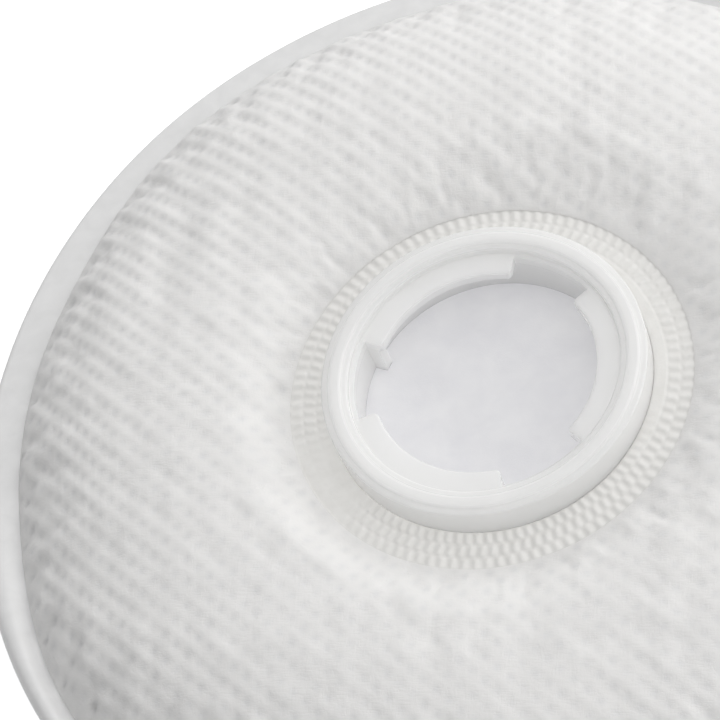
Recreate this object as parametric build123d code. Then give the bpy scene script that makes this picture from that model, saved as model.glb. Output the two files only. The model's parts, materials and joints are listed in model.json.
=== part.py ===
from build123d import *
import os
from math import pi

# Round, replaceable particulate filter of a dust mask: two walls of nonwoven plies, fused together
# at the edge, and a moulded twist-lock socket welded into the rear wall.
# Millimetres. +Z is the socket's axis, towards the mask. The origin is the middle of the flat zone
# of the front wall, on which the filter rests.

# ---- driving dimensions ----
OUTER_RADIUS = 58.0
RIM_WIDTH = 3.1            # fused edge band
RIM_THICKNESS = 1.8
RIM_ROUNDING = 0.75
RIM_PLANE_Z = 8.0          # middle of the fused edge above the rest plane

REAR_RISE = 8.2            # crown of the rear wall above the fused edge
REAR_DOME_POWER = 6        # higher is flatter on top and steeper at the edge
FRONT_FLAT_RADIUS = 34.0   # flat zone of the front wall
FRONT_POWER = 2.2

WALL = 3.0                 # full stack of plies in one wall
WALL_AT_RIM = 0.85         # the stack pressed thin beside the fused edge
WALL_AT_HUB = 0.75         # the stack pressed thin beside the weld ring
RIM_PINCH_WIDTH = 9.0
HUB_PINCH_WIDTH = 4.5

HUB_FACE_ABOVE_RIM = 6.35  # tops of the weld teeth above the rim plane
WELD_INNER_RADIUS = 17.5
WELD_OUTER_RADIUS = 21.5
TROUGH_WIDTH = 5.0         # shoulder of the pad round the weld ring
WELD_TOOTH_HEIGHT = 0.35
WELD_TEETH = 108
WELD_ROWS = 3
WELD_ROW_GAP = 0.16
WELD_TOOTH_SHARE = 0.55    # tooth width over pitch

SOCKET_RADIUS = 17.25
SOCKET_HEIGHT = 3.85       # seal land above the tops of the weld teeth
MOUTH_RADIUS = 14.4        # step of the rim above the lugs
CHAMBER_RADIUS = 13.9      # below that step, where the mating lugs turn
LUG_TIP_RADIUS = 11.8
LUG_THICKNESS = 1.2
LUG_ARC = 81.0             # degrees
LUG_COUNT = 3
FIRST_LUG_ANGLE = 4.8      # degrees, middle of a lug
LUG_CORNER_RADIUS = 0.5
LUG_LEAD_IN = 0.6
MOUTH_DEPTH = 0.75         # height of the step
LOCK_CHAMBER_HEIGHT = 4.2  # room below the lugs for the mating lugs
STOP_RIB_ARC = 5.0         # degrees
STOP_RIB_DEPTH = 1.4
SEAL_LAND_INNER = 15.2
SEAL_LAND_OUTER = 16.4
SEAL_LAND_RISE = 0.25
SEAL_LAND_CHAMFER = 0.2
SOCKET_EDGE_RADIUS = 0.35
FLANGE_RADIUS = 24.0

SCRIM_THICKNESS = 0.25
CORE_RADIUS = 53.3
CORE_CLEARANCE = 0.12
CORE_STEP_START = 24.4     # the core is pressed down inside this radius, under the flange
CORE_STEP_END = 26.8

# Each ply fills this share of its wall, counted inwards from the outer skin.
PLY_SHARES = {
    "cover_web": (0.00, 0.14),
    "media_outer_ply": (0.16, 0.49),
    "media_inner_ply": (0.51, 0.84),
    "liner_web": (0.86, 1.00),
}

# ---- derived places ----
PAD_RADIUS = OUTER_RADIUS - RIM_WIDTH
RIM_TOP_Z = RIM_PLANE_Z + RIM_THICKNESS / 2
RIM_BOTTOM_Z = RIM_PLANE_Z - RIM_THICKNESS / 2
HUB_FACE_Z = RIM_PLANE_Z + HUB_FACE_ABOVE_RIM
FLANGE_TOP_Z = HUB_FACE_Z - WALL_AT_HUB
SOCKET_TOP_Z = HUB_FACE_Z + SOCKET_HEIGHT
RIM_STEP_Z = SOCKET_TOP_Z - SEAL_LAND_RISE
LUG_TOP_Z = RIM_STEP_Z - MOUTH_DEPTH
LUG_BOTTOM_Z = LUG_TOP_Z - LUG_THICKNESS
FLANGE_BOTTOM_Z = LUG_BOTTOM_Z - LOCK_CHAMBER_HEIGHT
SCRIM_BOTTOM_Z = FLANGE_BOTTOM_Z - SCRIM_THICKNESS
IN_THE_WALL = 0.3          # how far lugs and ribs run into the socket's wall


def smooth(t):
    """Rises from 0 to 1 with level ends."""
    t = min(max(t, 0.0), 1.0)
    return t * t * (3 - 2 * t)


def rear_dome_z(r):
    """The rear skin as it would be with no trough round the socket."""
    return RIM_TOP_Z + REAR_RISE * (1 - (r / PAD_RADIUS) ** REAR_DOME_POWER)


def rear_skin_z(r):
    """Outer surface of the rear wall: a flat-topped dome that dips to the weld ring."""
    depth = rear_dome_z(WELD_OUTER_RADIUS) - HUB_FACE_Z
    share = max(0.0, 1 - (r - WELD_OUTER_RADIUS) / TROUGH_WIDTH)
    return rear_dome_z(r) - depth * share**2


def front_skin_z(r):
    """Outer surface of the front wall: level on the rest plane, then up to the fused edge."""
    share = max(0.0, (r - FRONT_FLAT_RADIUS) / (PAD_RADIUS - FRONT_FLAT_RADIUS))
    return RIM_BOTTOM_Z * share**FRONT_POWER


def rim_pinch(r):
    return (WALL - WALL_AT_RIM) * (1 - smooth((PAD_RADIUS - r) / RIM_PINCH_WIDTH))


def rear_wall(r):
    hub_pinch = (WALL - WALL_AT_HUB) * (1 - smooth((r - WELD_OUTER_RADIUS) / HUB_PINCH_WIDTH))
    return WALL - rim_pinch(r) - hub_pinch


def front_wall(r):
    return WALL - rim_pinch(r)


def sampled(height, start, end, steps=24):
    """Points of a profile curve, as (radius, height)."""
    radii = [start + (end - start) * i / steps for i in range(steps + 1)]
    return [(r, height(r)) for r in radii]


def spun(*edges):
    """The solid swept by a closed profile of (radius, height) edges about the Z axis."""
    return revolve(make_face(Plane.XZ * (Curve() + list(edges))), Axis.Z)


def rear_ply(near, far):
    """A ring-shaped ply of the rear wall, from the weld ring out to the fused edge."""
    top = sampled(lambda r: rear_skin_z(r) - near * rear_wall(r), WELD_OUTER_RADIUS, PAD_RADIUS)
    bottom = sampled(lambda r: rear_skin_z(r) - far * rear_wall(r), WELD_OUTER_RADIUS, PAD_RADIUS)
    return spun(
        Spline(*top),
        Line(top[-1], bottom[-1]),
        Spline(*bottom),
        Line(bottom[0], top[0]),
    )


def front_ply(near, far):
    """A full round ply of the front wall, level in the middle."""
    low = sampled(lambda r: front_skin_z(r) + near * front_wall(r), FRONT_FLAT_RADIUS, PAD_RADIUS)
    high = sampled(lambda r: front_skin_z(r) + far * front_wall(r), FRONT_FLAT_RADIUS, PAD_RADIUS)
    low_centre = (0, low[0][1])
    high_centre = (0, high[0][1])
    return spun(
        Line(low_centre, low[0]),
        Spline(*low),
        Line(low[-1], high[-1]),
        Spline(*high),
        Line(high[0], high_centre),
        Line(high_centre, low_centre),
    )


def spacer_core():
    """Lofty web that fills the space between the walls and is pressed down under the socket."""
    top = sampled(
        lambda r: rear_skin_z(r) - rear_wall(r) - CORE_CLEARANCE, CORE_STEP_END, CORE_RADIUS
    )
    bottom = sampled(
        lambda r: front_skin_z(r) + front_wall(r) + CORE_CLEARANCE, FRONT_FLAT_RADIUS, CORE_RADIUS
    )
    seat_edge = (CORE_STEP_START, SCRIM_BOTTOM_Z)
    seat_centre = (0, SCRIM_BOTTOM_Z)
    bottom_centre = (0, bottom[0][1])
    return spun(
        Line(seat_centre, seat_edge),
        Line(seat_edge, top[0]),
        Spline(*top),
        Line(top[-1], bottom[-1]),
        Spline(*bottom),
        Line(bottom[0], bottom_centre),
        Line(bottom_centre, seat_centre),
    )


def core_scrim():
    """Thin smooth web across the socket's opening, held between the flange and the core."""
    return Pos(Z=SCRIM_BOTTOM_Z) * extrude(Circle(FLANGE_RADIUS), SCRIM_THICKNESS)


def rim_weld_band():
    """The edge where every ply is fused into one solid band."""
    band = Pos(X=OUTER_RADIUS - RIM_WIDTH / 2, Y=RIM_PLANE_Z) * Rectangle(RIM_WIDTH, RIM_THICKNESS)
    outer_corners = band.vertices().group_by(Axis.X)[-1]
    return revolve(Plane.XZ * fillet(outer_corners, RIM_ROUNDING), Axis.Z)


def weld_tooth(row, index):
    """One radial tooth of the weld pattern. Odd rows are turned by half a pitch."""
    row_pitch = (WELD_OUTER_RADIUS - WELD_INNER_RADIUS) / WELD_ROWS
    start = WELD_INNER_RADIUS + row * row_pitch + WELD_ROW_GAP / 2
    length = row_pitch - WELD_ROW_GAP
    pitch_angle = 360 / WELD_TEETH
    width = 2 * pi * start / WELD_TEETH * WELD_TOOTH_SHARE
    tooth = Pos(X=start + length / 2) * Rectangle(length, width)
    return Rot(Z=pitch_angle * (index + row % 2 / 2)) * tooth


def hub_weld_ring():
    """Ring of fused web on the socket's flange, with rows of staggered radial weld teeth."""
    base_height = WALL_AT_HUB - WELD_TOOTH_HEIGHT
    base = extrude(Circle(WELD_OUTER_RADIUS) - Circle(WELD_INNER_RADIUS), base_height)
    outlines = [weld_tooth(row, index) for row in range(WELD_ROWS) for index in range(WELD_TEETH)]
    teeth = [extrude(Pos(Z=base_height) * outline, WELD_TOOTH_HEIGHT) for outline in outlines]
    return Pos(Z=FLANGE_TOP_Z) * (base + teeth)


def socket_shell():
    """The socket's flange, tube and stepped rim with its raised seal land."""
    tube_corner = SOCKET_RADIUS - SOCKET_EDGE_RADIUS
    shoulder_z = RIM_STEP_Z - SOCKET_EDGE_RADIUS
    outline = [
        (CHAMBER_RADIUS, FLANGE_BOTTOM_Z),
        (FLANGE_RADIUS, FLANGE_BOTTOM_Z),
        (FLANGE_RADIUS, FLANGE_TOP_Z),
        (SOCKET_RADIUS, FLANGE_TOP_Z),
        (SOCKET_RADIUS, shoulder_z),
    ]
    rim = [
        (tube_corner, RIM_STEP_Z),
        (SEAL_LAND_OUTER + SEAL_LAND_CHAMFER, RIM_STEP_Z),
        (SEAL_LAND_OUTER, SOCKET_TOP_Z),
        (SEAL_LAND_INNER, SOCKET_TOP_Z),
        (SEAL_LAND_INNER - SEAL_LAND_CHAMFER, RIM_STEP_Z),
        (MOUTH_RADIUS, RIM_STEP_Z),
        (MOUTH_RADIUS, LUG_TOP_Z),
        (CHAMBER_RADIUS, LUG_TOP_Z),
        (CHAMBER_RADIUS, FLANGE_BOTTOM_Z),
    ]
    edge = RadiusArc((SOCKET_RADIUS, shoulder_z), (tube_corner, RIM_STEP_Z), -SOCKET_EDGE_RADIUS)
    return spun(Polyline(*outline), edge, Polyline(*rim))


def annular_block(inner, outer, low, high, start_angle, arc):
    """Part of a ring of rectangular section, anticlockwise from start_angle."""
    section = Pos(X=(inner + outer) / 2, Y=(low + high) / 2) * Rectangle(outer - inner, high - low)
    return Rot(Z=start_angle) * revolve(Plane.XZ * section, Axis.Z, arc)


def lug():
    """One inward lug about +X, with rounded tip corners and a lead-in under its entry end."""
    root = CHAMBER_RADIUS + IN_THE_WALL
    plate = annular_block(LUG_TIP_RADIUS, root, LUG_BOTTOM_Z, LUG_TOP_Z, -LUG_ARC / 2, LUG_ARC)
    entry_edge = plate.edges().filter_by(GeomType.LINE).group_by(Axis.Z)[0].sort_by(Axis.Y)[0]
    plate = chamfer(entry_edge, LUG_LEAD_IN)
    tip_corners = plate.edges().filter_by(Axis.Z).sort_by_distance((0, 0, LUG_TOP_Z))[:2]
    return fillet(tip_corners, LUG_CORNER_RADIUS)


def stop_rib():
    """Rib below a lug's far end, where the mating lug stops."""
    return annular_block(
        CHAMBER_RADIUS - STOP_RIB_DEPTH,
        CHAMBER_RADIUS + IN_THE_WALL,
        FLANGE_BOTTOM_Z,
        LUG_BOTTOM_Z + IN_THE_WALL,
        LUG_ARC / 2 - STOP_RIB_ARC,
        STOP_RIB_ARC,
    )


def bayonet_socket():
    """Moulded twist-lock socket in one piece: shell, inward lugs and their stop ribs."""
    angles = [FIRST_LUG_ANGLE + i * 360 / LUG_COUNT for i in range(LUG_COUNT)]
    lock = [Rot(Z=angle) * piece for angle in angles for piece in (lug(), stop_rib())]
    return socket_shell() + lock


def pieces():
    """Every piece of the filter by its node name."""
    made = {}
    for name, (near, far) in PLY_SHARES.items():
        made["rear_" + name] = rear_ply(near, far)
        made["front_" + name] = front_ply(near, far)
    made["spacer_core"] = spacer_core()
    made["core_scrim"] = core_scrim()
    made["rim_weld_band"] = rim_weld_band()
    made["hub_weld_ring"] = hub_weld_ring()
    made["bayonet_socket"] = bayonet_socket()
    return made


os.makedirs("parts", exist_ok=True)
for node, solid in pieces().items():
    export_step(solid, f"parts/{node}.step")
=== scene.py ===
import json
from math import cos, hypot, pi, radians, sin, sqrt

import bmesh
import bpy
import numpy as np
from mathutils import Matrix, Vector, noise


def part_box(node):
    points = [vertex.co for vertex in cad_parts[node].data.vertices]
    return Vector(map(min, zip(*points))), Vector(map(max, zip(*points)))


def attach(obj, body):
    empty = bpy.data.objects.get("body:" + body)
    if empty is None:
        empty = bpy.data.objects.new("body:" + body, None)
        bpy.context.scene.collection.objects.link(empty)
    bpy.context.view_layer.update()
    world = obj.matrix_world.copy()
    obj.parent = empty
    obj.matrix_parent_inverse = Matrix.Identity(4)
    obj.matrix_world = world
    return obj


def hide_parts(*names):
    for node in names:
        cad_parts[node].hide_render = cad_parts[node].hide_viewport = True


# Lengths are millimetres in the frame's own axes, and become metres where a mesh is made.
MM = 0.001

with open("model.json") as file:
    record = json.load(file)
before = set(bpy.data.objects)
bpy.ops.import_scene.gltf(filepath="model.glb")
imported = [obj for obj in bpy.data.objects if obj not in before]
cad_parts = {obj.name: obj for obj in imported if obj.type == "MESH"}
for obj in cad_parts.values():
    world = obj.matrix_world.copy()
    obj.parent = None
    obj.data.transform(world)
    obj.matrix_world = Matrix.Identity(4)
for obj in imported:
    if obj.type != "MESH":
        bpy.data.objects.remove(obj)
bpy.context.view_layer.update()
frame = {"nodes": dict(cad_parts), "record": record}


# ---- places, read from the frame ----
def box(node):
    low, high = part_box(node)
    return low / MM, high / MM


def mount(name):
    return next(m for m in frame["record"]["mounts"] if m["name"] == name)


RIM_LOW, RIM_HIGH = box("rim_weld_band")
OUTER_RADIUS = RIM_HIGH.x
PAD_RADIUS = box("rear_cover_web")[1].x
RIM_PLANE_Z = (RIM_LOW.z + RIM_HIGH.z) / 2
WELD_LOW, WELD_HIGH = box("hub_weld_ring")
WELD_RADIUS = WELD_HIGH.x
FLANGE_LOW, SOCKET_HIGH = box("bayonet_socket")
FLANGE_RADIUS = SOCKET_HIGH.x
SCRIM_LOW, SCRIM_HIGH = box("core_scrim")
MOUTH_RADIUS = mount("socket_mouth")["dims"]["r_mm"]
LUG_TIP_RADIUS = mount("lock_lugs")["dims"]["r_mm"]
LUG_THICKNESS = mount("lock_lugs")["dims"]["length_mm"]
LUG_MIDDLE_Z = mount("lock_lugs")["pos_m"][2] / MM

# ---- the pad's construction ----
WALL = 3.0
WALL_AT_RIM = 0.45         # pressed thin by the edge weld
WALL_AT_HUB = 0.75         # and by the weld round the socket
EDGE_DIP = 0.4             # how far the edge weld draws each skin down
EDGE_DIP_WIDTH = 1.6
TROUGH_REACH = 8.2
TROUGH_UNEVEN = 2.8
TROUGH_WIDE_SIDE = radians(45)
SEAM_DRAWN_IN = 1.1        # where the edge weld is widest, round SEAM_WIDEST
SEAM_WIDEST = radians(180)
SEAM_WIDE_ARC = radians(28)
RIM_PINCH_WIDTH = 9.0
HUB_PINCH_WIDTH = 4.5
PLY_SHARES = {
    "cover_web": (0.00, 0.14),
    "media_outer_ply": (0.16, 0.49),
    "media_inner_ply": (0.51, 0.84),
    "liner_web": (0.86, 1.00),
}
SEGMENTS = 225             # round the pad, in the simulated sheet
REAR_RINGS = 22
FRONT_RINGS = 30
FINER = 4                  # each simulated cell is divided into this many, each way


def smooth(t):
    """Rises from 0 to 1 with level ends."""
    t = np.clip(t, 0, 1)
    return t * t * (3 - 2 * t)


# ---- grids: arrays of points, [ring, segment, xyz], closed round the axis ----
NEAR_AXIS = 1.5            # radius of the first ring of a grid that stands for a whole disc


def is_disc(grid):
    """True for a grid that starts near the axis, False for one with a hole for the socket."""
    return hypot(*grid[0, 0, :2]) < 2 * NEAR_AXIS


def ring_grid(radii, heights, segments):
    angles = np.arange(segments) * 2 * pi / segments
    grid = np.empty((len(radii), segments, 3))
    grid[..., 0] = np.outer(radii, np.cos(angles))
    grid[..., 1] = np.outer(radii, np.sin(angles))
    grid[..., 2] = np.asarray(heights)[:, None]
    return grid


def normals_of(grid, outward):
    """Unit normals of a grid, turned to the side of +Z or -Z that outward names."""
    round_axis = np.roll(grid, -1, axis=1) - np.roll(grid, 1, axis=1)
    along = np.gradient(grid, axis=0)
    normal = np.cross(along, round_axis)
    normal /= np.linalg.norm(normal, axis=2, keepdims=True) + 1e-12
    return normal * np.sign(normal[..., 2:].mean()) * outward


def cubic(points, factor, closed):
    """Catmull-Rom division of an array's first axis, with factor steps for each of its own."""
    if closed:
        padded = np.concatenate([points[-1:], points, points[:2]])
    else:
        first = 2 * points[:1] - points[1:2]
        last = 2 * points[-1:] - points[-2:-1]
        padded = np.concatenate([first, points, last])
    a, b, c, d = padded[:-3], padded[1:-2], padded[2:-1], padded[3:]
    steps = []
    for i in range(factor):
        t = i / factor
        steps.append(
            b
            + (c - a) * t / 2
            + (2 * a - 5 * b + 4 * c - d) * t * t / 2
            + (3 * b - a - 3 * c + d) * t**3 / 2
        )
    dense = np.stack(steps, axis=1).reshape(-1, *points.shape[1:])
    return dense if closed else np.concatenate([dense, points[-1:]])


def finer(grid):
    dense = cubic(grid, FINER, closed=False)
    return cubic(dense.swapaxes(0, 1), FINER, closed=True).swapaxes(0, 1)


# ---- meshes ----
def new_object(name, vertices, faces, material=None, sharp_angle=None):
    """An object from points in millimetres. One with a material gets all its faces turned outward."""
    mesh = bpy.data.meshes.new(name)
    mesh.from_pydata((np.reshape(vertices, (-1, 3)) * MM).tolist(), [], faces)
    if material:
        outward = bmesh.new()
        outward.from_mesh(mesh)
        bmesh.ops.recalc_face_normals(outward, faces=outward.faces)
        outward.to_mesh(mesh)
        outward.free()
    mesh.shade_smooth()
    if sharp_angle:
        mesh.set_sharp_from_angle(angle=radians(sharp_angle))
    mesh.update()
    piece = bpy.data.objects.new(name, mesh)
    bpy.context.scene.collection.objects.link(piece)
    if material:
        mesh.materials.append(material)
    return piece


def grid_faces(rings, segments, start=0, flip=False, skip_last_ring=True):
    faces = []
    for i in range(rings - 1 if skip_last_ring else rings):
        low = start + i * segments
        high = start + (i + 1) % rings * segments
        for j in range(segments):
            k = (j + 1) % segments
            face = (low + j, low + k, high + k, high + j)
            faces.append(face[::-1] if flip else face)
    return faces


def edge_wall(fine_start, fine_count, coarse_start, coarse_count, flip=False):
    """Faces between a fine and a coarse edge loop, one for each coarse segment."""
    share = fine_count // coarse_count
    faces = []
    for j in range(coarse_count):
        fine = [fine_start + (j * share + n) % fine_count for n in range(share + 1)]
        coarse = [coarse_start + (j + 1) % coarse_count, coarse_start + j]
        face = fine + coarse
        faces.append(face[::-1] if flip else face)
    return faces


def closed_sheet(name, outer, inner, material):
    """A thin solid between two grids, both rings, or both discs that a middle point closes."""
    outer_rings, outer_count = outer.shape[:2]
    inner_rings, inner_count = inner.shape[:2]
    inner_start = outer_rings * outer_count
    vertices = np.concatenate([outer.reshape(-1, 3), inner.reshape(-1, 3)])
    faces = grid_faces(outer_rings, outer_count)
    faces += grid_faces(inner_rings, inner_count, inner_start, flip=True)
    outer_rim = (outer_rings - 1) * outer_count
    inner_rim = inner_start + (inner_rings - 1) * inner_count
    faces += edge_wall(outer_rim, outer_count, inner_rim, inner_count)
    if is_disc(outer):
        middle = len(vertices)
        centres = [outer[0].mean(axis=0), inner[0].mean(axis=0)]
        vertices = np.concatenate([vertices, centres])
        for j in range(outer_count):
            faces.append((middle, (j + 1) % outer_count, j))
        for j in range(inner_count):
            faces.append((middle + 1, inner_start + j, inner_start + (j + 1) % inner_count))
    else:
        faces += edge_wall(0, outer_count, inner_start, inner_count, flip=True)
    return new_object(name, vertices, faces, material, sharp_angle=60)


# ---- shape of the pad ----
def skin_height(node, radius, from_above):
    """Height of a CAD node's outer skin at a radius, found by a ray along the axis."""
    side = 1 if from_above else -1
    start = Vector((radius, 0, 100 * side)) * MM
    hit, point, _, _ = frame["nodes"][node].ray_cast(start, Vector((0, 0, -side)))
    if not hit:
        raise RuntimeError(f"{node} has no skin at radius {radius}")
    return point.z / MM


def wall_depth(radii, hub):
    rim_pinch = (WALL - WALL_AT_RIM) * (1 - smooth((PAD_RADIUS - radii) / RIM_PINCH_WIDTH))
    hub_pinch = (WALL - WALL_AT_HUB) * (1 - smooth((radii - WELD_RADIUS) / HUB_PINCH_WIDTH))
    return WALL - rim_pinch - (hub_pinch if hub else 0)


def trough_widened(grid):
    """The grid with the pad's rise beside the hub spread out, most on TROUGH_WIDE_SIDE."""
    radii = np.hypot(grid[..., 0], grid[..., 1])
    angles = np.arctan2(grid[..., 1], grid[..., 0])
    reach = TROUGH_REACH + TROUGH_UNEVEN * np.cos(angles - TROUGH_WIDE_SIDE)
    low, high = grid[0, 0, 2], grid[..., 2].max()
    gentle = low + (high - low) * smooth((radii - WELD_RADIUS) / reach)
    widened = grid.copy()
    widened[..., 2] = np.minimum(grid[..., 2], gentle)
    return widened


def pad_skin(node, start_radius, rings, from_above):
    radii = np.linspace(start_radius, PAD_RADIUS, rings + 1)
    inside = np.clip(radii, start_radius + 0.05, PAD_RADIUS - 0.05)
    heights = np.array([skin_height(node, r, from_above) for r in inside])
    dip = EDGE_DIP * (1 - smooth((PAD_RADIUS - radii) / EDGE_DIP_WIDTH))
    return ring_grid(radii, heights - dip if from_above else heights + dip, SEGMENTS)


def seam_in(angles):
    """How far inside PAD_RADIUS the edge weld starts, at each angle."""
    from_widest = np.abs(np.mod(angles - SEAM_WIDEST + pi, 2 * pi) - pi)
    wide = SEAM_DRAWN_IN * smooth(1.5 - from_widest / SEAM_WIDE_ARC)
    return wide + 0.09 * np.sin(4 * angles + 1) + 0.06 * np.sin(9 * angles + 2) + 0.12


def to_seam(grid):
    """The grid with its outer part drawn in to the edge weld."""
    radii = np.hypot(grid[..., 0], grid[..., 1])
    angles = np.arctan2(grid[..., 1], grid[..., 0])
    share = 1 - seam_in(angles) * smooth((radii - 40) / (PAD_RADIUS - 40)) / radii
    drawn = grid.copy()
    drawn[..., :2] *= share[..., None]
    return drawn


# ---- cloth ----
SIM_SCALE = 10             # cloth settles more steadily when it is about a metre across
SIM_FRAMES = 24
MOST_MOVE = 1.6            # how far simulation may move a point
EDGE_SLACK = 0.014         # share by which the cloth was cut too large beside its welds
RIM_SLACK_WIDTH = 10.0
HUB_SLACK_WIDTH = 5.0
HUB_SLACK_SHARE = 0.1
FRONT_CLEARANCE = 0.2      # room for the emboss between the front's skin and what it rests on
CORE_HOLD = 0.1            # how firmly the core keeps the cloth in place, against 1 at a weld


def seeded_ripple(grid, amount, seed):
    """Small uneven start for the gathers, the same each run."""
    ripple = np.empty(grid.shape[:2])
    for i in range(grid.shape[0]):
        for j in range(grid.shape[1]):
            x, y, _ = grid[i, j]
            ripple[i, j] = noise.noise(Vector((x * 0.35, y * 0.35, seed)))
    return amount * ripple


# Soft dents in the rear wall, from handling: centre x, y, half width in x, half length in y, depth.
REAR_DENTS = (
    (-37.5, 14.0, 2.6, 8.0, 0.55),
    (-48.5, 6.0, 2.2, 4.0, 0.45),
    (8.5, -31.0, 2.6, 9.0, 0.22),
    (4.5, 36.0, 2.4, 7.0, 0.28),
)


def handled(grid, outward, seed, dents=()):
    """The grid with the slow unevenness and the dents that handling leaves in a soft pad."""
    lift = seeded_ripple(grid / 8, 0.55, seed)
    x, y = grid[..., 0], grid[..., 1]
    for at_x, at_y, width, length, depth in dents:
        lift -= depth * np.exp(-(((x - at_x) / width) ** 2) - ((y - at_y) / length) ** 2)
    radii = np.hypot(x, y)
    fade = smooth((PAD_RADIUS - radii) / 7)
    if not is_disc(grid):
        fade = fade * smooth((radii - WELD_RADIUS) / 5)
    moved = grid.copy()
    moved[..., 2] += outward * lift * fade
    return moved


def resting(grid, height):
    """The grid pressed flat where it would sink below height."""
    pressed = grid.copy()
    pressed[..., 2] = np.maximum(pressed[..., 2], height)
    return pressed


def settled(start, name, outward, seed):
    """start after its cloth, cut with some slack, has settled between its welds on the core."""
    rings, segments = start.shape[:2]
    radii = np.hypot(start[..., 0], start[..., 1])
    slack = np.maximum(
        1 - smooth((PAD_RADIUS - radii) / RIM_SLACK_WIDTH),
        HUB_SLACK_SHARE * (1 - smooth((radii - WELD_RADIUS) / HUB_SLACK_WIDTH)),
    )
    ring_number = np.arange(rings)[:, None] * np.ones(segments)
    welded = ring_number == rings - 1
    if not is_disc(start):
        welded |= ring_number == 0
    weights = np.where(welded, 1.0, CORE_HOLD)
    uneven = start + normals_of(start, outward) * seeded_ripple(start, 0.3, seed)[..., None]
    uneven = np.where(welded[..., None], start, uneven)
    faces = grid_faces(rings, segments, flip=outward > 0)
    sheet = new_object(name + "_sim", uneven * SIM_SCALE, faces)
    for group, values in (("held", weights), ("firm", 1 - slack)):
        vertex_group = sheet.vertex_groups.new(name=group)
        for index, value in enumerate(values.reshape(-1)):
            vertex_group.add([index], float(value), "REPLACE")
    modifier = sheet.modifiers.new("Cloth", "CLOTH")
    cloth = modifier.settings
    cloth.quality = 8
    cloth.mass = 0.2
    cloth.tension_stiffness = 25
    cloth.compression_stiffness = 25
    cloth.shear_stiffness = 10
    cloth.bending_stiffness = 0.05
    cloth.air_damping = 2
    cloth.vertex_group_mass = "held"
    cloth.pin_stiffness = 1
    cloth.vertex_group_shrink = "firm"
    cloth.shrink_min = -EDGE_SLACK
    cloth.shrink_max = 0
    cloth.use_pressure = True
    cloth.uniform_pressure_force = 2
    cloth.effector_weights.gravity = 0
    modifier.point_cache.frame_start = 1
    modifier.point_cache.frame_end = SIM_FRAMES
    scene = bpy.context.scene
    for number in range(1, SIM_FRAMES + 1):
        scene.frame_set(number)
    evaluated = sheet.evaluated_get(bpy.context.evaluated_depsgraph_get())
    points = np.empty(rings * segments * 3)
    evaluated.data.vertices.foreach_get("co", points)
    scene.frame_set(1)
    bpy.data.objects.remove(sheet)
    move = points.reshape(start.shape) / (SIM_SCALE * MM) - start
    length = np.linalg.norm(move, axis=2, keepdims=True)
    return start + move * np.minimum(1, MOST_MOVE / (length + 1e-9))


# ---- emboss of the cover webs ----
ROW_DIRECTION = radians(54)      # across the rows of bond points
ALONG_DIRECTION = radians(146)
ROW_PITCH = 1.88
BOND_PITCH = 1.75
BOND_RADIUS = 0.34
RIB_HEIGHT = 0.024
BOND_DEPTH = 0.07
AT_THE_EDGE = 2.8          # times the relief is deeper at the rim than in the middle
CRISPEST_SIDE = radians(120)
LIFTED = 0.055             # keeps the bond points outside the ply below


def cell_chance(row, column):
    """A number from 0 to 1 that stays the same for each cell of the emboss."""
    mixed = np.sin(row * 12.9898 + column * 78.233) * 43758.5453
    return mixed - np.floor(mixed)


def emboss(grid, mirrored=False):
    """Height of the emboss at each point, and how much of a bond point lies there."""
    x, y = grid[..., 0] * (-1 if mirrored else 1), grid[..., 1]
    drift = 0.14 * np.sin(x / 9.0 + 0.7) + 0.10 * np.sin(y / 6.5 + x / 17.0)
    across = (x * cos(ROW_DIRECTION) + y * sin(ROW_DIRECTION) + drift) / ROW_PITCH
    along = (x * cos(ALONG_DIRECTION) + y * sin(ALONG_DIRECTION) - drift) / BOND_PITCH
    row, column = np.floor(across), np.floor(along)
    from_row = (across - row - 0.5) * ROW_PITCH
    from_column = (along - column - 0.5) * BOND_PITCH
    bond = np.exp(-(from_row**2 + from_column**2) / (2 * BOND_RADIUS**2))
    bond *= 0.65 + 0.6 * cell_chance(row, column)
    rib = (0.5 + 0.5 * np.cos(2 * pi * across)) ** 2
    deeper = 1 + (AT_THE_EDGE - 1) * smooth((np.hypot(x, y) - 30) / 22)
    deeper *= 0.74 + 0.26 * np.cos(np.arctan2(y, x) - CRISPEST_SIDE)
    deeper *= 1 + 0.3 * np.sin(x / 2.3 + 1.1 * np.sin(y / 3.1)) * np.sin(y / 2.7 + np.sin(x / 4.3))
    return (LIFTED + RIB_HEIGHT * rib - BOND_DEPTH * bond) * deeper, bond


def embossed(grid, outward, mirrored=False):
    """The grid divided finer and embossed, level at its welded edges."""
    dense = finer(grid)
    height, bond = emboss(dense, mirrored)
    radii = np.hypot(dense[..., 0], dense[..., 1])
    fade = smooth((PAD_RADIUS - radii) / 0.6)
    if not is_disc(grid):
        fade = fade * smooth((radii - WELD_RADIUS) / 0.6)
    shown = dense + normals_of(dense, outward) * (height * fade)[..., None]
    return shown, bond * fade


def point_attribute(piece, name, shares):
    """Stores a value from 0 to 1 on a piece's first vertices, for its material."""
    values = np.zeros(len(piece.data.vertices), np.float32)
    values[: shares.size] = shares.reshape(-1)
    piece.data.attributes.new(name, "FLOAT", "POINT").data.foreach_set("value", values)


# ---- swept rings ----
ROUNDING_STEPS = 3


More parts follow.
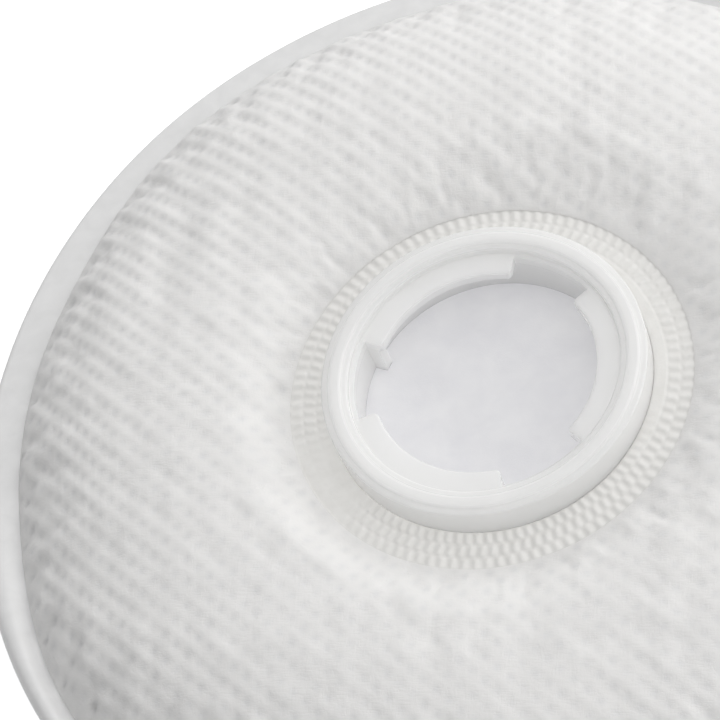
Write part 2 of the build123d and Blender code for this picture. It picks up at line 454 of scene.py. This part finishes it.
def rounded(loops, radius):
    """Closed loops of (radius, height), [angle, point, 2], with every corner rounded.

    A point just outside each rounding keeps the flat faces flat when they are shaded.
    """
    to_before = np.roll(loops, 1, axis=1) - loops
    to_after = np.roll(loops, -1, axis=1) - loops
    before = np.linalg.norm(to_before, axis=2, keepdims=True) + 1e-9
    after = np.linalg.norm(to_after, axis=2, keepdims=True) + 1e-9
    start = loops + to_before / before * np.minimum(radius, 0.35 * before)
    end = loops + to_after / after * np.minimum(radius, 0.35 * after)
    curve = [loops + to_before / before * np.minimum(radius * 1.3, 0.42 * before)]
    curve += [
        (1 - t) ** 2 * start + 2 * t * (1 - t) * loops + t**2 * end
        for t in np.linspace(0, 1, ROUNDING_STEPS + 1)
    ]
    curve.append(loops + to_after / after * np.minimum(radius * 1.3, 0.42 * after))
    return np.stack(curve, axis=2).reshape(loops.shape[0], -1, 2)


def swept(name, angles, loops, material, sharp_angle=None):
    """A closed ring round the axis, from its cross-section at each angle."""
    count, size = loops.shape[:2]
    vertices = np.empty((count, size, 3))
    vertices[..., 0] = loops[..., 0] * np.cos(angles)[:, None]
    vertices[..., 1] = loops[..., 0] * np.sin(angles)[:, None]
    vertices[..., 2] = loops[..., 1]
    faces = grid_faces(count, size, skip_last_ring=False)
    return new_object(name, vertices, faces, material, sharp_angle)


# ---- materials ----
def material_of(name, colour, roughness, **sockets):
    """A Principled material and its tree. Names of sockets are given with _ for a space."""
    made = bpy.data.materials.new(name)
    made.use_nodes = True
    principled = made.node_tree.nodes["Principled BSDF"]
    principled.inputs["Base Color"].default_value = (*colour, 1)
    principled.inputs["Roughness"].default_value = roughness
    for socket, value in sockets.items():
        principled.inputs[socket.replace("_", " ")].default_value = value
    return made


def add_node(material, kind, settings=None, **inputs):
    """A node with its settings and inputs. An input is a value or another node's output."""
    made = material.node_tree.nodes.new(kind)
    for key, value in (settings or {}).items():
        setattr(made, key, value)
    for socket, value in inputs.items():
        target = made.inputs[int(socket[1:]) if socket[1:].isdigit() else socket.replace("_", " ")]
        if isinstance(value, bpy.types.NodeSocket):
            material.node_tree.links.new(value, target)
        else:
            target.default_value = value
    return made


def to_principled(material, socket, output):
    principled = material.node_tree.nodes["Principled BSDF"]
    material.node_tree.links.new(output, principled.inputs[socket])


def place_output(material, stretch=(1, 1, 1)):
    """Position on the object, stretched, so that a pattern keeps its real size."""
    place = add_node(material, "ShaderNodeTexCoord").outputs["Object"]
    return add_node(material, "ShaderNodeMapping", Vector=place, Scale=stretch).outputs["Vector"]


def noise_output(material, size, detail=3.0, stretch=(1, 1, 1), distortion=0.0):
    """Noise whose features are about size millimetres across."""
    return add_node(
        material,
        "ShaderNodeTexNoise",
        Vector=place_output(material, stretch),
        Scale=1 / (size * MM),
        Detail=detail,
        Distortion=distortion,
    ).outputs["Fac"]


def colour_between(material, factor, low, high):
    """Colours from low to high as factor goes over the middle of its range."""
    ramp = add_node(material, "ShaderNodeValToRGB", Fac=factor)
    first, last = ramp.color_ramp.elements
    first.position, last.position = 0.3, 0.7
    first.color, last.color = (*low, 1), (*high, 1)
    return ramp.outputs["Color"]


def bump_output(material, height, depth, normal=None):
    """Bump with a relief of about depth millimetres."""
    inputs = {"Height": height, "Distance": depth * MM, "Strength": 1.0}
    if normal:
        inputs["Normal"] = normal
    return add_node(material, "ShaderNodeBump", **inputs).outputs["Normal"]


def ranged(material, value, low, high):
    """value from 0 to 1 taken to low to high."""
    return add_node(
        material, "ShaderNodeMapRange", Value=value, To_Min=low, To_Max=high
    ).outputs["Result"]


def cover_fabric():
    """White bonded nonwoven: fine fibres, soft sheen, and flatter, glossier bond points."""
    made = material_of(
        "cover_fabric", (0.89, 0.884, 0.874), 0.85, Sheen_Weight=0.2, Sheen_Roughness=0.5,
        Subsurface_Weight=0.35, Subsurface_Scale=0.0012, Subsurface_Radius=(1.0, 1.0, 1.0),
    )
    cloud = noise_output(made, 9.0, detail=2.0)
    cloth = colour_between(made, cloud, (0.865, 0.86, 0.852), (0.905, 0.899, 0.889))
    bond = add_node(made, "ShaderNodeAttribute", {"attribute_name": "bond"}).outputs["Fac"]
    mixed = add_node(
        made, "ShaderNodeMix", {"data_type": "RGBA"}, Factor=bond, i6=cloth, i7=(0.83, 0.83, 0.83, 1)
    ).outputs[2]
    to_principled(made, "Base Color", mixed)
    to_principled(made, "Roughness", ranged(made, bond, 0.88, 0.55))
    fibres_one_way = noise_output(made, 0.22, detail=4.0, stretch=(1, 0.18, 1), distortion=0.6)
    fibres_across = noise_output(made, 0.22, detail=4.0, stretch=(0.18, 1, 1), distortion=0.6)
    lumps = noise_output(made, 0.9, detail=2.0)
    first = bump_output(made, lumps, 0.045)
    second = bump_output(made, fibres_one_way, 0.03, first)
    to_principled(made, "Normal", bump_output(made, fibres_across, 0.03, second))
    return made


def moulded_polypropylene():
    """Milky, half clear moulding with a satin skin, and a painted highlight: near-white base colour
    along its rounded edges.
    """
    made = material_of(
        "moulded_polypropylene", (0.885, 0.886, 0.88), 0.17, IOR=1.49,
        Subsurface_Weight=1.0, Subsurface_Scale=0.0038, Subsurface_Radius=(1.0, 1.0, 1.0),
        Transmission_Weight=0.12,
    )
    cloud = noise_output(made, 5.0, detail=2.0)
    tone = colour_between(made, cloud, (0.875, 0.877, 0.87), (0.895, 0.896, 0.89))
    # painted highlight: the base colour is mixed to near-white at the rounded edges, standing in for
    # bright lines of lamp light
    edge = add_node(made, "ShaderNodeAttribute", {"attribute_name": "painted_edge_highlight"}).outputs["Fac"]
    mixed = add_node(
        made, "ShaderNodeMix", {"data_type": "RGBA"}, Factor=edge, i6=tone, i7=(0.995, 0.995, 0.99, 1)
    ).outputs[2]
    to_principled(made, "Base Color", mixed)
    grain = noise_output(made, 0.35, detail=3.0)
    to_principled(made, "Roughness", ranged(made, grain, 0.12, 0.24))
    to_principled(made, "Normal", bump_output(made, cloud, 0.03))
    return made


def fused_edge():
    """Nonwoven melted to a smooth, cloudy, slightly glossy band."""
    made = material_of(
        "fused_edge", (0.795, 0.797, 0.799), 0.32, IOR=1.5,
        Subsurface_Weight=0.15, Subsurface_Scale=0.001, Subsurface_Radius=(1.0, 1.0, 1.0),
    )
    cloud = noise_output(made, 2.2, detail=4.0, distortion=0.4)
    tone = colour_between(made, cloud, (0.77, 0.772, 0.774), (0.82, 0.822, 0.824))
    to_principled(made, "Base Color", tone)
    to_principled(made, "Roughness", ranged(made, cloud, 0.25, 0.42))
    fine = noise_output(made, 0.5, detail=3.0)
    slow = noise_output(made, 4.0, detail=1.0)
    waves = bump_output(made, slow, 0.05)
    to_principled(made, "Normal", bump_output(made, fine, 0.004, waves))
    return made


def fused_web():
    """Web melted onto the socket's flange by the weld teeth: half glossy and a little yellow."""
    made = material_of(
        "fused_web", (0.775, 0.77, 0.752), 0.5, IOR=1.48,
        Subsurface_Weight=0.25, Subsurface_Scale=0.001, Subsurface_Radius=(1.0, 1.0, 1.0),
    )
    cloud = noise_output(made, 1.6, detail=4.0)
    tone = colour_between(made, cloud, (0.75, 0.744, 0.725), (0.80, 0.795, 0.778))
    to_principled(made, "Base Color", tone)
    to_principled(made, "Roughness", ranged(made, cloud, 0.4, 0.7))
    fine = noise_output(made, 0.3, detail=4.0)
    to_principled(made, "Normal", bump_output(made, fine, 0.015))
    return made


def smooth_scrim():
    """Thin bluish-white web with the cloudy look of blown fibres."""
    made = material_of(
        "smooth_scrim", (0.83, 0.83, 0.86), 0.75, Sheen_Weight=0.15,
        Subsurface_Weight=0.3, Subsurface_Scale=0.001, Subsurface_Radius=(1.0, 1.0, 1.0),
    )
    cloud = noise_output(made, 3.5, detail=5.0, distortion=0.3)
    tone = colour_between(made, cloud, (0.80, 0.80, 0.835), (0.86, 0.86, 0.885))
    to_principled(made, "Base Color", tone)
    fibres = noise_output(made, 0.18, detail=5.0, distortion=1.0)
    to_principled(made, "Normal", bump_output(made, fibres, 0.015))
    return made


def felt(name, colour, fibre, relief):
    """Unbonded fibre felt, for the plies inside."""
    made = material_of(name, colour, 0.92, Sheen_Weight=0.2)
    cloud = noise_output(made, 4.0, detail=3.0)
    darker = tuple(c * 0.93 for c in colour)
    to_principled(made, "Base Color", colour_between(made, cloud, darker, colour))
    fibres = noise_output(made, fibre, detail=5.0, stretch=(1, 0.3, 1), distortion=1.2)
    to_principled(made, "Normal", bump_output(made, fibres, relief))
    return made


# ---- the pad's soft pieces ----
def wall_grid(skin, depth_share, hub, outward):
    """The surface that lies depth_share of the wall's thickness inside its skin."""
    radii = np.hypot(skin[..., 0], skin[..., 1])
    depth = wall_depth(radii, hub) * depth_share
    return skin - normals_of(skin, outward) * depth[..., None]


def finish_piece(piece, node):
    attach(piece, "root")
    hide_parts(node)


def build_wall(side, skin, outward, materials):
    """All plies of one wall, each following the settled skin."""
    hub = side == "rear"
    for ply, (near, far) in reversed(PLY_SHARES.items()):
        node = f"{side}_{ply}"
        inner = wall_grid(skin, far, hub, outward)
        if ply == "cover_web":
            outer, bond = embossed(skin, outward, mirrored=not hub)
            outer = resting(outer, 0.0)
            piece = closed_sheet(f"{node}_fabric", to_seam(outer), to_seam(inner), materials[ply])
            point_attribute(piece, "bond", bond)
        else:
            outer = wall_grid(skin, near, hub, outward)
            piece = closed_sheet(f"{node}_fabric", to_seam(outer), to_seam(inner), materials[ply])
        finish_piece(piece, node)


def build_core(rear_skin, front_skin, material):
    """The lofty web between the walls, pressed flat under the socket's flange."""
    radii = np.linspace(NEAR_AXIS, PAD_RADIUS - 1.6, FRONT_RINGS + 1)
    rear_inner = wall_grid(rear_skin, 1.05, True, 1)
    front_inner = wall_grid(front_skin, 1.05, False, -1)
    rear_radii = np.hypot(rear_inner[..., 0], rear_inner[..., 1])
    front_radii = np.hypot(front_inner[..., 0], front_inner[..., 1])
    top = ring_grid(radii, radii * 0, SEGMENTS)
    bottom = top.copy()
    for j in range(SEGMENTS):
        rear_z = np.interp(radii, rear_radii[:, j], rear_inner[:, j, 2])
        pressed = smooth((radii - FLANGE_RADIUS - 0.4) / 2.4)
        top[:, j, 2] = SCRIM_LOW.z - 0.02 + (rear_z - SCRIM_LOW.z) * pressed
        bottom[:, j, 2] = np.interp(radii, front_radii[:, j], front_inner[:, j, 2])
    core = closed_sheet("spacer_core_web", to_seam(top), to_seam(bottom), material)
    finish_piece(core, "spacer_core")


SCRIM_RINGS = 40
SCRIM_SEGMENTS = 180
SCRIM_SLACK = 0.16


def build_scrim(material):
    """The smooth web across the socket's opening, a little slack between its held edges."""
    radii = np.linspace(NEAR_AXIS, FLANGE_RADIUS, SCRIM_RINGS)
    top = ring_grid(radii, radii * 0 + SCRIM_HIGH.z, SCRIM_SEGMENTS)
    free = smooth((MOUTH_RADIUS - radii) / 5.0)[:, None]
    x, y = top[..., 0], top[..., 1]
    slack = 0.5 + 0.3 * np.sin(x / 4.1 + 0.5) + 0.3 * np.sin(y / 3.3 - x / 7.0)
    slack += 0.15 * np.sin((x + y) / 1.7)
    top[..., 2] -= 0.02 + SCRIM_SLACK * free * slack
    bottom = top.copy()
    bottom[..., 2] -= SCRIM_HIGH.z - SCRIM_LOW.z - 0.03
    scrim = closed_sheet("core_scrim_web", top, bottom, material)
    finish_piece(scrim, "core_scrim")


# ---- welded and moulded pieces ----
RIM_SEGMENTS = 720
RIM_POINTS = 23            # from the pad to the outer edge
FLATTEST_SIDE = radians(146)


def build_rim(material):
    """The fused edge: flat where the weld pressed hardest, elsewhere a bead beside a valley."""
    angles = np.arange(RIM_SEGMENTS) * 2 * pi / RIM_SEGMENTS
    half = (RIM_HIGH.z - RIM_LOW.z) / 2
    share = 1 - (1 - np.linspace(0, 1, RIM_POINTS)) ** 1.4
    outer_fall = np.sqrt(np.clip(1 - ((share - 0.6) / 0.4).clip(0, 1) ** 2, 0, 1))
    bead = (0.38 + 1.1 * smooth((share - 0.08) / 0.5)) * outer_fall
    edge_fall = np.sqrt(np.clip(1 - ((share - 0.85) / 0.15).clip(0, 1) ** 2, 0, 1))
    flat = 0.55 * edge_fall
    beaded = smooth((np.abs(angles - FLATTEST_SIDE) - radians(38)) / radians(26))[:, None]
    uneven = 1 + 0.04 * np.sin(5 * angles + 0.4) + 0.04 * np.sin(13 * angles + 2.0)
    thick = half * (flat + (bead - flat) * beaded) * uneven[:, None]
    sway = (0.08 * np.sin(3 * angles + 1.0) + 0.05 * np.sin(8 * angles))[:, None] * share
    inner_edge = (PAD_RADIUS - seam_in(angles) - 0.12)[:, None]
    top = np.empty((RIM_SEGMENTS, RIM_POINTS, 2))
    top[..., 0] = inner_edge + (OUTER_RADIUS - inner_edge) * share
    top[..., 1] = RIM_PLANE_Z + sway + thick
    bottom = top[:, -2::-1].copy()
    bottom[..., 1] = RIM_PLANE_Z + (sway - thick)[:, -2::-1]
    rim = swept("rim_weld_band_fused", angles, np.concatenate([top, bottom], axis=1), material)
    finish_piece(rim, "rim_weld_band")


SOCKET_RADIUS = 17.25
TEETH = 108
STEPS_PER_TOOTH = 12
RING_POINTS = 34           # from the socket to the ring's outer edge
TOOTH_ROWS = 3
TOOTH_HEIGHT = 0.14
TOOTH_LEAN = 0.12          # share of a pitch that a tooth leans, each row the other way
ROW_DEPTH = 0.8            # share of a tooth's height that is lost between two rows
STAGGERED_AT = 290         # degrees, as the next two
WORN_AT = 216
PLAIN_AT = 20              # where the inner row has no teeth


def build_weld_ring(material):
    """Three rows of radial weld teeth, staggered, worn or plain on parts of the ring as pictured."""
    steps = TEETH * STEPS_PER_TOOTH
    angles = np.arange(steps) * 2 * pi / steps
    degrees_round = np.degrees(angles)
    inner_radius = SOCKET_RADIUS + 0.01
    share = np.linspace(0, 1, RING_POINTS)
    row = np.minimum((share * TOOTH_ROWS).astype(int), TOOTH_ROWS - 1)
    in_row = share * TOOTH_ROWS - row
    lean = TOOTH_LEAN * (in_row - 0.5) * np.where(row % 2, 1, -1)
    from_lower_side = np.abs(np.mod(degrees_round - STAGGERED_AT + 180, 360) - 180)
    staggered = 0.5 * smooth(2.4 - from_lower_side / 35)
    phase = angles[:, None] * TEETH / (2 * pi) + staggered[:, None] * (row % 2) + lean
    across = 0.5 + 0.5 * np.cos(2 * pi * phase)
    along = 1 - ROW_DEPTH * (1 - smooth(in_row / 0.25) * smooth((1 - in_row) / 0.25))
    worn = smooth(1.6 - np.abs(degrees_round - WORN_AT) / 14)
    from_right_side = np.abs(np.mod(degrees_round - PLAIN_AT + 180, 360) - 180)
    plain = smooth(1.6 - from_right_side / 38)[:, None] * (row == 0)
    tooth = across * along * (1 - 0.85 * worn)[:, None]
    tooth = tooth + (0.75 - tooth) * plain
    outer_shoulder = smooth((share - 0.93) / 0.07)
    tooth = tooth + (1 - tooth) * outer_shoulder
    loops = np.empty((steps, RING_POINTS, 2))
    loops[..., 0] = inner_radius + (WELD_RADIUS + 0.08 - inner_radius) * share
    loops[..., 1] = WELD_HIGH.z + 0.03 - TOOTH_HEIGHT * (1 - tooth)
    foot = np.empty((steps, 2, 2))
    foot[:, 0] = (WELD_RADIUS, WELD_LOW.z)
    foot[:, 1] = (inner_radius, WELD_LOW.z)
    ring = swept("hub_weld_ring_teeth", angles, np.concatenate([loops, foot], axis=1), material)
    finish_piece(ring, "hub_weld_ring")


LUG_COUNT = 3
LUG_ARC = 81.0             # degrees, as the next two
FIRST_LUG_ANGLE = 4.8
STOP_RIB_ARC = 5.0
STOP_RIB_DEPTH = 1.4
CHAMBER_RADIUS = 13.9
SEAL_LAND = (15.2, 16.4)
SEAL_LAND_RISE = 0.25
LAND_SLOPE = 0.2           # how far the land's sides lean out
CORNER_ROUNDING = 0.16
TINY = 0.03                # a lug's depth where there is none
CORNER_HIGHLIGHT_SHARES = (0.3, 1, 1, 1, 1, 0.3)   # painted highlight: how near-white the base colour is at each of the points rounded() makes of a corner


def lug_share(from_end):
    """How far a lug stands in, from 0 to 1, at a distance in millimetres from its end."""
    depth = CHAMBER_RADIUS - LUG_TIP_RADIUS
    corner = 0.6
    inside = min(from_end, corner)
    if from_end <= 0:
        return 0.0
    return 1 - (corner - sqrt(corner**2 - (corner - inside) ** 2)) / depth


def socket_angles():
    """Angles in degrees: even steps, and finer ones at each lug's and rib's end."""
    steps = list(np.arange(0, 360, 1.0))
    for i in range(LUG_COUNT):
        middle = FIRST_LUG_ANGLE + i * 360 / LUG_COUNT
        for side in (-1, 1):
            end = middle + side * LUG_ARC / 2
            steps += [end - side * d for d in (-0.15, 0.0, 0.06, 0.2, 0.5, 0.9, 1.5, 2.2, 2.9)]
        rib_end = middle + LUG_ARC / 2 - STOP_RIB_ARC
        steps += [rib_end - 0.1, rib_end, rib_end + 0.06, rib_end + 0.3]
    return np.unique(np.round(np.mod(steps, 360), 3))


def build_socket(material):
    """Flange, tube, stepped rim with its seal land, inward lugs and stop ribs, all one moulding."""
    degrees_round = socket_angles()
    lug_top = LUG_MIDDLE_Z + LUG_THICKNESS / 2
    lug_bottom = LUG_MIDDLE_Z - LUG_THICKNESS / 2
    rim_z = SOCKET_HIGH.z - SEAL_LAND_RISE
    flange_low, flange_high = FLANGE_LOW.z, WELD_LOW.z
    land_in, land_out = SEAL_LAND
    loops = []
    painted_highlight = []                 # painted highlight: how near-white each corner of the loop is painted
    for degree in degrees_round:
        nearest_lug = round((degree - FIRST_LUG_ANGLE) * LUG_COUNT / 360)
        turn = degree - (FIRST_LUG_ANGLE + 360 / LUG_COUNT * nearest_lug)
        from_end = radians(LUG_ARC / 2 - abs(turn)) * (LUG_TIP_RADIUS + 1)
        on_lug = lug_share(from_end)
        tip = CHAMBER_RADIUS - max(TINY, on_lug * (CHAMBER_RADIUS - LUG_TIP_RADIUS))
        in_rib = LUG_ARC / 2 - STOP_RIB_ARC < turn < LUG_ARC / 2
        wall = CHAMBER_RADIUS - (STOP_RIB_DEPTH if in_rib else 0)
        loops.append([
            (wall, flange_low),
            (FLANGE_RADIUS, flange_low),
            (FLANGE_RADIUS, flange_high),
            (SOCKET_RADIUS, flange_high),
            (SOCKET_RADIUS, rim_z),
            (land_out + LAND_SLOPE, rim_z),
            (land_out, SOCKET_HIGH.z),
            (land_in, SOCKET_HIGH.z),
            (land_in - LAND_SLOPE, rim_z),
            (MOUTH_RADIUS, rim_z),
            (MOUTH_RADIUS, lug_top),
            (CHAMBER_RADIUS - TINY / 2, lug_top),
            (tip, lug_top),
            (tip, lug_bottom),
            (max(wall, tip + TINY / 2), lug_bottom),
        ])
        at_lug_end = 4 * on_lug * (1 - on_lug)
        # painted highlight on the seal land, the mouth edge, the lug ends and the lug tips
        painted_highlight.append([0, 0, 0, 0, 0, 0, 0.8, 0.8, 0, 1, 0, at_lug_end, on_lug, on_lug, 0])
    profile = rounded(np.array(loops), CORNER_ROUNDING)
    angles = np.radians(degrees_round)
    socket = swept("bayonet_socket_moulding", angles, profile, material, sharp_angle=40)
    point_attribute(socket, "painted_edge_highlight", np.multiply.outer(painted_highlight, CORNER_HIGHLIGHT_SHARES))
    finish_piece(socket, "bayonet_socket")
    socket.visible_shadow = False    # lamp and sky light pass through the clear plastic


# ---- studio ----
FLOOR_HALF = 4000.0
FLOOR_GLOW = 0.6
SKY_STRENGTH = 0.54
SKY_SIDE = (0.62, 0.60, 0.50)   # the brighter side of the soft surrounding light
SKY_DIFFERENCE = 0.85
WARM_WHITE = (1.0, 0.985, 0.965)
LIGHTS = [
    ("key_light", (290, 290, 400), (0, 0, 10), 420, 0.9),
    ("edge_light", (190, -290, 400), (0, 0, 10), 70, 0.10),
]


def build_studio():
    floor_material = material_of("studio_floor", (0.93, 0.93, 0.93), 0.9)
    principled = floor_material.node_tree.nodes["Principled BSDF"]
    principled.inputs["Emission Color"].default_value = (1, 1, 1, 1)
    principled.inputs["Emission Strength"].default_value = FLOOR_GLOW
    signs = [(-1, -1), (1, -1), (1, 1), (-1, 1)]
    corners = [(x * FLOOR_HALF, y * FLOOR_HALF, -0.05) for x, y in signs]
    floor = new_object("studio_floor", corners, [(0, 1, 2, 3)])
    floor.data.materials.append(floor_material)
    floor.visible_diffuse = False    # a bright backdrop that doesn't light the pad from below

    world = bpy.data.worlds.new("studio_world")
    bpy.context.scene.world = world
    world.use_nodes = True
    nodes, links = world.node_tree.nodes, world.node_tree.links
    direction = nodes.new("ShaderNodeTexCoord").outputs["Generated"]
    towards_light = nodes.new("ShaderNodeVectorMath")
    towards_light.operation = "DOT_PRODUCT"
    towards_light.inputs[1].default_value = SKY_SIDE
    brightness = nodes.new("ShaderNodeMath")
    brightness.operation = "MULTIPLY_ADD"
    brightness.inputs[1].default_value = SKY_STRENGTH * SKY_DIFFERENCE
    brightness.inputs[2].default_value = SKY_STRENGTH
    links.new(direction, towards_light.inputs[0])
    links.new(towards_light.outputs["Value"], brightness.inputs[0])
    links.new(brightness.outputs[0], nodes["Background"].inputs["Strength"])
    nodes["Background"].inputs["Color"].default_value = (1.0, 1.0, 1.0, 1)

    for name, place, aim, size, energy in LIGHTS:
        lamp = bpy.data.lights.new(name, "AREA")
        lamp.shape = "DISK"
        lamp.size = size * MM
        lamp.energy = energy
        lamp.color = WARM_WHITE
        light = bpy.data.objects.new(name, lamp)
        light.location = Vector(place) * MM
        light.rotation_euler = (Vector(aim) - Vector(place)).to_track_quat("-Z", "Y").to_euler()
        bpy.context.scene.collection.objects.link(light)


CAMERA_LENS = 175.0        # for the 36 mm sensor width
CAMERA_TILT = radians(30.3)
CAMERA_TURN = radians(16.7)
CAMERA_OFFSET = (-0.260, 0.100, 6.36)   # right, up and back, in outer radii from the rim's middle


def build_camera():
    data = bpy.data.cameras.new("camera")
    data.lens = CAMERA_LENS
    data.sensor_width = 36.0
    turned = Matrix.Rotation(CAMERA_TILT, 4, "X") @ Matrix.Rotation(CAMERA_TURN, 4, "Y")
    place = turned @ (Vector(CAMERA_OFFSET) * OUTER_RADIUS) + Vector((0, 0, RIM_PLANE_Z))
    camera = bpy.data.objects.new("camera", data)
    camera.matrix_world = Matrix.Translation(place * MM) @ turned
    bpy.context.scene.collection.objects.link(camera)
    bpy.context.scene.camera = camera
    data.clip_start, data.clip_end = 0.01, 20.0


# ---- the filter ----
build_camera()
build_studio()
bpy.context.scene.view_settings.view_transform = "Standard"

rear_start = trough_widened(pad_skin("rear_cover_web", WELD_RADIUS, REAR_RINGS, from_above=True))
front_start = pad_skin("front_cover_web", NEAR_AXIS, FRONT_RINGS, from_above=False)
rear_skin = handled(settled(rear_start, "rear", 1, seed=1.0), 1, 2.0, REAR_DENTS)
front_skin = resting(handled(settled(front_start, "front", -1, seed=5.0), -1, 7.0), FRONT_CLEARANCE)

cover = cover_fabric()
media = felt("electret_felt", (0.83, 0.83, 0.82), 0.3, 0.08)
liner = felt("liner_felt", (0.82, 0.82, 0.815), 0.15, 0.02)
wall_materials = {
    "cover_web": cover,
    "media_outer_ply": media,
    "media_inner_ply": media,
    "liner_web": liner,
}
build_wall("rear", rear_skin, 1, wall_materials)
build_wall("front", front_skin, -1, wall_materials)
build_core(rear_skin, front_skin, felt("lofty_fibre", (0.82, 0.82, 0.81), 0.6, 0.3))
build_scrim(smooth_scrim())
build_rim(fused_edge())
build_weld_ring(fused_web())
build_socket(moulded_polypropylene())
